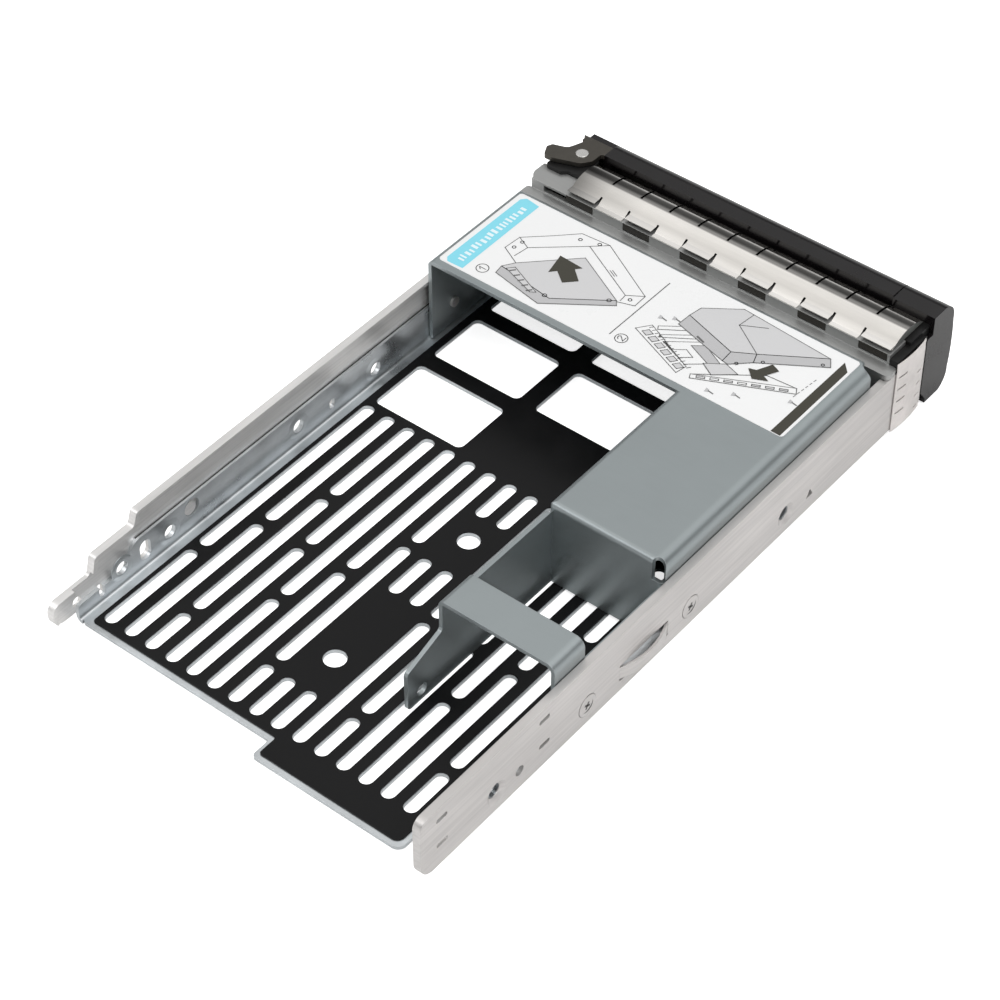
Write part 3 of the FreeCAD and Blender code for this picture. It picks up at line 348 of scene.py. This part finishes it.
def first_picture():
    """A plain tray with a flat slab that slides into it."""
    ring((3.3, 39.0), 1.5, 2)
    printed_line([(2.8, 39.3), (3.4, 39.9), (3.4, 38.1)], 2, width=0.00022)
    outlined([(12.4, 39.6), (17.4, 39.2), (22.6, 33.6), (27.6, 28.6), (28.2, 20.9), (18.7, 3.6),
              (14.6, 3.5), (13.0, 8.2), (9.0, 33.0)], 2)
    printed_line([(17.4, 39.2), (15.6, 35.4), (25.0, 24.4), (28.2, 20.9)], 4)
    printed_line([(25.0, 24.4), (16.2, 7.4), (18.7, 3.6)], 4)
    printed_line([(16.2, 7.4), (14.0, 7.2)], 4)
    printed_line([(21.4, 15.0), (20.4, 13.0)], 4)
    printed_line([(21.0, 15.4), (20.0, 13.4)], 4)
    printed_line([(15.6, 35.4), (11.4, 36.0)], 4)
    for u, v in ((13.8, 38.0), (16.4, 37.6), (25.6, 27.6), (27.0, 23.0), (15.6, 5.6)):
        ring((u, v), 0.42, 4)
    top = [(6.6, 36.0), (9.4, 34.2), (21.0, 22.6), (13.4, 7.8), (4.4, 20.4)]
    edge = [(4.4, 20.4), (13.4, 7.8), (12.0, 6.8), (1.4, 21.4), (4.0, 35.6), (6.6, 36.0)]
    outlined(top, 5, "light")
    outlined(edge, 5, "grey")
    socket = [(8.2, 33.2), (4.2, 24.0), (3.4, 25.2), (6.6, 34.6)]
    outlined(socket, 7, "light")
    contacts = 5
    for k in range(contacts):
        along = (k + 0.5) / contacts
        ends = [between(socket[0], socket[1], socket[3], along, across) for across in (0.25, 0.8)]
        printed_line(ends, 9, width=0.0004)
    ring((4.6, 21.8), 0.5, 7)
    ring((12.4, 9.2), 0.5, 7)
    arrow = [(10.6, 21.4), (13.4, 18.7), (16.2, 22.0), (17.6, 20.8), (18.0, 27.6), (11.6, 26.2),
             (13.2, 24.8)]
    printed("dark", arrow, 9)


def second_picture():
    """The slab's carrier going down into a slotted caddy, with its screws."""
    printed_line([(3.4, 2.2), (26.0, 2.0)], 2, width=0.00026)
    ring((3.8, -0.8), 1.5, 2)
    printed_line([(3.2, -0.3), (3.6, 0.1), (4.1, 0.1), (4.4, -0.3), (3.2, -1.6), (4.5, -1.6)], 2,
                 width=0.00022)
    # the caddy's front bar with its small cells
    front = [(8.6, -1.2), (11.8, -3.6), (5.2, -17.8), (2.2, -17.2)]
    outlined(front, 2, "white")
    for k in range(6):
        start = 0.08 + k * 0.15
        outlined(patch(front, start, start + 0.10, 0.2, 0.62), 4, "light")
    for k in range(14):
        along = 0.04 + k * 0.07
        ends = [between(front[0], front[3], front[1], along, across) for across in (0.74, 0.98)]
        printed_line(ends, 4)
    # its far side, floor and near side
    outlined([(11.4, -5.4), (12.4, -4.8), (19.4, -14.2), (18.4, -15.6)], 2, "white")
    outlined([(9.4, -7.2), (10.2, -6.8), (17.4, -16.4), (16.6, -17.8)], 2, "white")
    outlined([(8.8, -8.8), (16.0, -18.4), (12.6, -25.6), (5.6, -17.0)], 2, "white")
    outlined([(11.6, -14.6), (13.6, -17.2), (9.6, -25.4), (8.0, -23.2)], 4, "grey")
    outlined([(7.8, -12.0), (9.8, -14.6), (8.6, -17.2), (6.6, -14.8)], 4, "white")
    outlined([(8.4, -20.2), (11.4, -24.4), (10.2, -28.4), (6.4, -23.8)], 6, "light")
    near = [(2.6, -20.6), (3.8, -20.0), (14.6, -41.2), (13.0, -42.2)]
    outlined(near, 4, "white")
    for k, ink in enumerate(("light", "white", "light", "white", "grey", "light", "grey")):
        start = 0.06 + k * 0.13
        outlined(patch(near, start, start + 0.08, 0.3, 0.75), 6, ink)
    printed_line([(3.8, -20.0), (14.0, -33.6), (14.6, -41.2)], 4)
    # the carrier above it
    top = [(19.8, -8.2), (23.4, -8.8), (29.2, -16.8), (27.4, -41.6), (18.4, -27.8), (15.4, -22.8)]
    outlined(top, 6, "light")
    outlined([(19.8, -8.2), (15.4, -22.8), (11.8, -23.0), (15.8, -8.0)], 6, "grey")
    outlined([(15.4, -22.8), (18.4, -27.8), (15.6, -28.8), (11.6, -24.6), (11.8, -23.0)], 6,
             "grey")
    outlined([(18.4, -27.8), (27.4, -41.6), (25.0, -43.2), (15.6, -28.8)], 6, "grey")
    printed_line([(18.4, -27.8), (24.0, -19.0), (27.2, -24.8)], 8)
    printed_line([(24.0, -19.0), (29.0, -19.6)], 8)
    printed_line([(14.9, -14.0), (14.2, -16.0)], 8, width=0.0005)
    for u, v in ((13.0, -26.0), (17.0, -30.4), (24.6, -41.4)):
        ring((u, v), 0.35, 8)
    arrow = [(11.0, -31.6), (13.4, -29.0), (14.0, -30.8), (17.8, -32.6), (16.8, -35.0),
             (13.4, -33.2), (12.6, -35.0)]
    printed("dark", arrow, 8)
    # the way in and the screws
    for k in range(6):
        dash = [(19.6 - k * 1.4, -43.0 + k * 0.15), (18.9 - k * 1.4, -42.9 + k * 0.15)]
        printed_line(dash, 4, width=0.00016)
    for u, v in ((15.2, -3.6), (16.8, -6.4), (1.8, -26.2), (4.4, -31.6), (10.2, -42.8)):
        head = [(u - 0.7, v + 0.5), (u + 0.6, v + 0.7), (u + 0.4, v - 0.2), (u - 0.4, v - 0.3)]
        printed("grey", head, 4)
        printed_line([(u, v - 0.3), (u - 0.2, v - 1.5)], 4, width=0.0003)


def dark_bar():
    """The plain dark bar across the -X end."""
    printed("dark", [(-0.2, -44.5), (28.5, -44.7), (26.1, -47.0), (-0.2, -47.0)], 1)


pale_band()
first_picture()
second_picture()
dark_bar()
for ink, mesh in prints.items():
    ink_finish = moulded("ink_" + ink, inks[ink], 0.34, 2500, 0.04, level=0.35, spread=0.01)
    sheet = drawn_piece("label_ink_" + ink, mesh, ink_finish)
    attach(sheet, "caddy")


# ---------------------------------------------------------------- front frame
# The folded steel frame behind the front, as wide as the caddy. It is grey satin plated sheet with
# its streaks running across the part.

frame_finish = plated_sheet("frame_sheet", (0.44, 0.445, 0.44), 0.80, 0.36, 0.50, (60, 700, 700))
finish_with("front_frame", frame_finish)


# ---------------------------------------------------------------- front panel, handle and end block
# Black mouldings: the panel with the pivot block, the lever's handle across the front, the fixed
# end block, the release button in it and the slide that locks the lever.

panel_black = moulded("panel_black", (0.008, 0.008, 0.008), 0.40, level=0.3)
handle_black = moulded("handle_black", (0.0065, 0.0055, 0.006), 0.24, 5000, 0.06, level=0.4)
for node in ("front_panel", "latch_slide"):
    finish_with(node, panel_black)
for node in ("lever_handle", "bezel_end_block", "release_button"):
    finish_with(node, handle_black)


# ---------------------------------------------------------------- lever, its pin and the springs
# The lever's arm is stamped from dark plated steel and turns on a bright rivet. A torsion spring
# sits round the rivet and a coil spring behind the button.

arm_finish = plated_sheet("arm_steel", (0.105, 0.098, 0.086), 0.85, 0.30, 0.42, (600, 600, 60))
pin_finish = plated_sheet("pin_steel", (0.72, 0.71, 0.69), 0.95, 0.18, 0.30, (300, 300, 300))
finish_with("lever_arm", arm_finish)
finish_with("lever_pivot_pin", pin_finish)
for node in ("lever_spring", "button_spring"):
    finish_with(node, pin_finish)


# ---------------------------------------------------------------- bracket screws
# Four small countersunk steel screws hold the bracket between the rails. Each head is bright; the
# shade in its cross recess and in a crescent at its rim is painted on as a flat dark skin.

finish_with("bracket_screws", rail_finish)
# painted shade: a dark grey for the screws' recesses and rim crescents
screw_shade_finish = moulded("screw_painted_shade", (0.10, 0.096, 0.094), 0.5, level=0.4)


def screw_heads():
    """Painted shade of each screw's cross recess and rim, as a thin skin on the rails' outer faces.
    """
    face_x = 0.05291              # just outside the rails' outer faces
    screw_z = 0.00755
    bar_half_length, bar_half_width = 0.0010, 0.00030
    outer, thick, overlap = 0.0019, 0.00055, 0.00001
    start, sweep, steps = -2.3, 2.6, 14
    mesh = bmesh.new()
    for side, y in ((-1, 0.0420), (-1, 0.0059), (1, -0.0397), (1, -0.0597)):
        x = side * face_x
        middle = Vector((x, y, screw_z))
        for turn in (0.5, 0.5 + math.pi / 2):
            along = Vector((0, math.cos(turn), math.sin(turn))) * bar_half_length
            across = Vector((0, -math.sin(turn), math.cos(turn))) * bar_half_width
            corners = [middle - along - across, middle + along - across,
                       middle + along + across, middle - along + across]
            mesh.faces.new([mesh.verts.new(c) for c in (corners if side > 0 else corners[::-1])])
        for k in range(steps):
            a = start + sweep * k / steps
            b = start + sweep * (k + 1) / steps
            thick_a = thick * math.sin(math.pi * k / steps)
            thick_b = thick * math.sin(math.pi * (k + 1) / steps)
            rim = [(outer - thick_a, a), (outer + overlap, a),
                   (outer + overlap, b), (outer - thick_b, b)]
            rim = [(x, y - r * math.cos(t), screw_z + r * math.sin(t)) for r, t in rim]
            mesh.faces.new([mesh.verts.new(c) for c in (rim if side < 0 else rim[::-1])])
    marks = drawn_piece("screw_shade_marks", mesh, screw_shade_finish)
    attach(marks, "caddy")


screw_heads()


# ---------------------------------------------------------------- finger strips
# Bright stainless spring sheet, crowned and slit into fingers, that earths the front to the bay.
# The side strip is drawn here as a flatter sheet than its solid, so that both rows of slits show.

def shade_along(material, axis, start, end, stops):
    """Deepens a metal's tone along one axis of the part, as dark parts beside it mirror in it."""
    tree = material.node_tree
    shader = tree.nodes["Principled BSDF"]
    place = tree.nodes.new("ShaderNodeTexCoord")
    split = tree.nodes.new("ShaderNodeSeparateXYZ")
    tree.links.new(place.outputs["Object"], split.inputs[0])
    span = tree.nodes.new("ShaderNodeMapRange")
    span.inputs["From Min"].default_value = start
    span.inputs["From Max"].default_value = end
    tree.links.new(split.outputs[axis], span.inputs["Value"])
    tones = tree.nodes.new("ShaderNodeValToRGB")
    tones.color_ramp.elements[0].position = stops[0][0]
    tones.color_ramp.elements[0].color = (stops[0][1],) * 3 + (1,)
    tones.color_ramp.elements[1].position = stops[-1][0]
    tones.color_ramp.elements[1].color = (stops[-1][1],) * 3 + (1,)
    for position, tone in stops[1:-1]:
        tones.color_ramp.elements.new(position).color = (tone, tone, tone, 1)
    tree.links.new(span.outputs["Result"], tones.inputs["Fac"])
    deepen = tree.nodes.new("ShaderNodeMix")
    deepen.data_type = "RGBA"
    deepen.blend_type = "MULTIPLY"
    deepen.inputs["Factor"].default_value = 1.0
    tree.links.new(shader.inputs["Base Color"].links[0].from_socket, deepen.inputs["A"])
    tree.links.new(tones.outputs["Color"], deepen.inputs["B"])
    tree.links.new(deepen.outputs["Result"], shader.inputs["Base Color"])


strip_finish = plated_sheet("finger_steel", (0.88, 0.855, 0.82), 1.0, 0.06, 0.17,
                            (40, 900, 900), (55, 120, 55), 0.08, 0.00008)
finish_with("top_finger_strip", strip_finish)
side_finish = moulded("side_finger_steel", (0.74, 0.70, 0.68), 0.35, 3000, 0.03, level=0.5)
shade_along(strip_finish, "Y", -0.0870, -0.0700, (
    (0.0, 0.95), (0.08, 0.95), (0.235, 0.85), (0.36, 0.42),
    (0.445, 0.30), (0.475, 0.95), (0.68, 0.80), (0.80, 1.0),
))
shade_along(strip_finish, "X", 0.022, 0.0416, (
    (0.0, 1.0), (0.55, 0.80), (0.85, 0.45), (1.0, 0.30),
))

# painted shade: a near-black finish for the skins that stand in for the shade under the tabs
tab_shade_finish = moulded("painted_tab_shade", (0.016, 0.013, 0.008), 0.30, level=0.4)


def tab_shade_skins():
    """Painted shade below every raised tab, drawn as a thin dark skin on the frame's riser."""
    low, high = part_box("top_finger_strip")
    fingers = 11
    pitch = (high[0] - low[0]) / fingers
    side_gap = 0.0003
    riser_y, skin_gap = -0.072, 0.00002
    shade_low, shade_high = 0.0218, 0.0237
    y = riser_y + skin_gap
    skin = bmesh.new()
    for finger in range(0, fingers, 2):
        x1 = high[0] - pitch * finger - (side_gap if finger else 0)
        x0 = high[0] - pitch * (finger + 1) + side_gap
        outline = ((x0, y, shade_low), (x1, y, shade_low),
                   (x1, y, shade_high), (x0, y, shade_high))
        corners = [skin.verts.new(corner) for corner in outline]
        skin.faces.new(corners[::-1])
    sheet = drawn_piece("tab_shade_skins", skin, tab_shade_finish)
    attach(sheet, "caddy")


tab_shade_skins()


def flat_side_strip():
    """The side strip, slit in from both edges and nearly flat against the caddy's -X side."""
    low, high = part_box("side_finger_strip")
    edges_y = [-0.0716, -0.0725, -0.0740, -0.0755, -0.0766, -0.0779, -0.0791, -0.0803, -0.0811,
               -0.0820, -0.0832]
    slits = [0.0034, 0.00705, 0.0107, 0.01435, 0.0180]
    half_slit = 0.00022
    foot = 0.0010                 # from the solid's lower edge to the sheet's
    inset, crown, thickness = 0.0002, 0.0005, 0.0002
    edges_z = [low[2] + foot]
    for z in slits:
        edges_z += [z - half_slit, z + half_slit]
    edges_z.append(high[2])
    mesh = bmesh.new()

    def place(y, z):
        t = (y - edges_y[-1]) / (edges_y[0] - edges_y[-1])
        return (high[0] - inset - crown * (1 - (2 * t - 1) ** 2), y, z)

    grid = [[mesh.verts.new(place(y, z)) for z in edges_z] for y in edges_y]
    for i in range(len(edges_y) - 1):
        for j in range(len(edges_z) - 1):
            in_slit = j % 2 == 1
            rear = 1 <= i <= 2 and j >= 3
            front = 7 <= i <= 8 and j <= 7
            if in_slit and (rear or front):
                continue
            mesh.faces.new((grid[i][j], grid[i + 1][j], grid[i + 1][j + 1], grid[i][j + 1]))
    bmesh.ops.recalc_face_normals(mesh, faces=mesh.faces)
    strip = drawn_piece("side_strip", mesh, side_finish)
    sheet = strip.modifiers.new("sheet", "SOLIDIFY")
    sheet.thickness = thickness
    sheet.offset = 0
    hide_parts("side_finger_strip")
    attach(strip, "caddy")


flat_side_strip()


def strip_end():
    """The closed lens-shaped -X end of the top strip."""
    low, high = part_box("top_finger_strip")
    rear_y, front_y, foot_z, crest_z = -0.0734, -0.08635, 0.02392, high[2]
    skin_gap = 0.00002
    half = (rear_y - front_y) / 2
    rise = crest_z - foot_z
    radius = (half ** 2 + rise ** 2) / (2 * rise)
    steps = 16
    mesh = bmesh.new()
    arch = []
    for k in range(steps + 1):
        y = rear_y - 2 * half * k / steps
        off = y - (rear_y + front_y) / 2
        z = crest_z - radius + math.sqrt(radius ** 2 - off ** 2)
        arch.append(mesh.verts.new((low[0] - skin_gap, y, z)))
    mesh.faces.new(arch)
    bmesh.ops.recalc_face_normals(mesh, faces=mesh.faces)
    end_finish = moulded("strip_end_steel", (0.10, 0.105, 0.10), 0.45, level=0.5)
    end = drawn_piece("strip_end", mesh, end_finish)
    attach(end, "caddy")


strip_end()


# ---------------------------------------------------------------- light pipes
# Two acrylic bars along the -X rail's inner face, that carry the drive's lights from the back to
# the front. They have a pale glossy finish.

pipe_finish = moulded("light_pipe", (0.74, 0.78, 0.80), 0.12, 3000, 0.02)
finish_with("light_pipe_upper", pipe_finish)
finish_with("light_pipe_lower", pipe_finish)


# ---------------------------------------------------------------- floor, light and camera
# A plain pale floor in a white studio, with two soft lamps above the part. The camera looks down
# on the part from the rear, over its -X side.

def floor_finish():
    """A matt pale floor that takes shadows and looks nearly white."""
    material = bpy.data.materials.new("pale_floor")
    material.use_nodes = True
    tree = material.node_tree
    tree.nodes.clear()
    out = tree.nodes.new("ShaderNodeOutputMaterial")
    matt = tree.nodes.new("ShaderNodeBsdfDiffuse")
    matt.inputs["Color"].default_value = (0.9, 0.9, 0.9, 1)
    glow = tree.nodes.new("ShaderNodeEmission")
    glow.inputs["Color"].default_value = (1, 1, 1, 1)
    path = tree.nodes.new("ShaderNodeLightPath")
    strength = tree.nodes.new("ShaderNodeMath")
    strength.operation = "MULTIPLY"
    strength.inputs[1].default_value = 0.75
    tree.links.new(path.outputs["Is Camera Ray"], strength.inputs[0])
    tree.links.new(strength.outputs[0], glow.inputs["Strength"])
    both = tree.nodes.new("ShaderNodeAddShader")
    tree.links.new(matt.outputs[0], both.inputs[0])
    tree.links.new(glow.outputs[0], both.inputs[1])
    tree.links.new(both.outputs[0], out.inputs["Surface"])
    return material


reach = 6
floor_gap = 0.0002
floor_mesh = bpy.data.meshes.new("floor")
floor_corners = [(-reach, -reach, 0), (reach, -reach, 0), (reach, reach, 0), (-reach, reach, 0)]
floor_mesh.from_pydata(floor_corners, [], [(0, 1, 2, 3)])
floor = bpy.data.objects.new("floor", floor_mesh)
floor.location.z = cad_box[0].z - floor_gap
floor_mesh.materials.append(floor_finish())
bpy.context.scene.collection.objects.link(floor)

world = bpy.data.worlds.new("studio")
bpy.context.scene.world = world
world.use_nodes = True
sky = world.node_tree
sky.nodes.clear()
sky_out = sky.nodes.new("ShaderNodeOutputWorld")
sky_path = sky.nodes.new("ShaderNodeLightPath")


def sky_level(strength):
    """An even white light from all round."""
    light = sky.nodes.new("ShaderNodeBackground")
    light.inputs["Color"].default_value = (1, 1, 1, 1)
    light.inputs["Strength"].default_value = strength
    return light


def sky_choice(share, below, above):
    """Takes the second light where the ray has the given kind, and else the first."""
    choice = sky.nodes.new("ShaderNodeMixShader")
    sky.links.new(share, choice.inputs[0])
    sky.links.new(below.outputs[0], choice.inputs[1])
    sky.links.new(above.outputs[0], choice.inputs[2])
    return choice


def room_light():
    """A white studio: bright overhead and near the ground, with a dark band low between them."""
    place = sky.nodes.new("ShaderNodeTexCoord")
    split = sky.nodes.new("ShaderNodeSeparateXYZ")
    sky.links.new(place.outputs["Generated"], split.inputs[0])
    steps = sky.nodes.new("ShaderNodeValToRGB")
    stops = steps.color_ramp.elements
    stops[0].position = 0.0
    stops[0].color = (0.90, 0.90, 0.90, 1)
    stops[1].position = 1.0
    stops[1].color = (1.0, 0.99, 0.97, 1)
    for position, level in ((0.12, 0.85), (0.26, 0.13), (0.53, 0.13), (0.60, 0.60), (0.64, 0.95)):
        stop = stops.new(position)
        stop.color = (level, level, level, 1)
    sky.links.new(split.outputs["Z"], steps.inputs["Fac"])
    light = sky_level(1.0)
    sky.links.new(steps.outputs["Color"], light.inputs["Color"])
    return light


seen_sky = sky_choice(sky_path.outputs["Is Camera Ray"], room_light(), sky_level(1.0))
whole_sky = sky_choice(sky_path.outputs["Is Transmission Ray"], seen_sky, sky_level(1.0))
sky.links.new(whole_sky.outputs[0], sky_out.inputs["Surface"])


def soft_box(name, place, aim, width, height, power):
    """A soft rectangular lamp that faces a point."""
    data = bpy.data.lights.new(name, "AREA")
    data.shape = "RECTANGLE"
    data.size = width
    data.size_y = height
    data.energy = power
    lamp = bpy.data.objects.new(name, data)
    lamp.location = place
    lamp.rotation_euler = (Vector(aim) - Vector(place)).to_track_quat("-Z", "Y").to_euler()
    bpy.context.scene.collection.objects.link(lamp)
    return lamp


soft_box("key_light", (-0.5, 0.1, 0.9), (0, 0, 0), 0.8, 0.8, 3.5)
soft_box("fill_light", (0.7, 0.6, 0.7), (0, 0, 0), 0.6, 0.6, 2)

camera_data = bpy.data.cameras.new("camera")
camera_data.lens = 106.3
camera_data.sensor_width = 36
camera_data.clip_start = 0.01
camera = bpy.data.objects.new("camera", camera_data)
camera.location = (-0.2922, 0.3693, 0.4651)
aim = Vector((0.0031, 0.0010, 0.0012)) - camera.location
camera.rotation_mode = "QUATERNION"
camera.rotation_quaternion = aim.to_track_quat("-Z", "Y")
bpy.context.scene.collection.objects.link(camera)
bpy.context.scene.camera = camera
bpy.context.scene.view_settings.view_transform = "Standard"
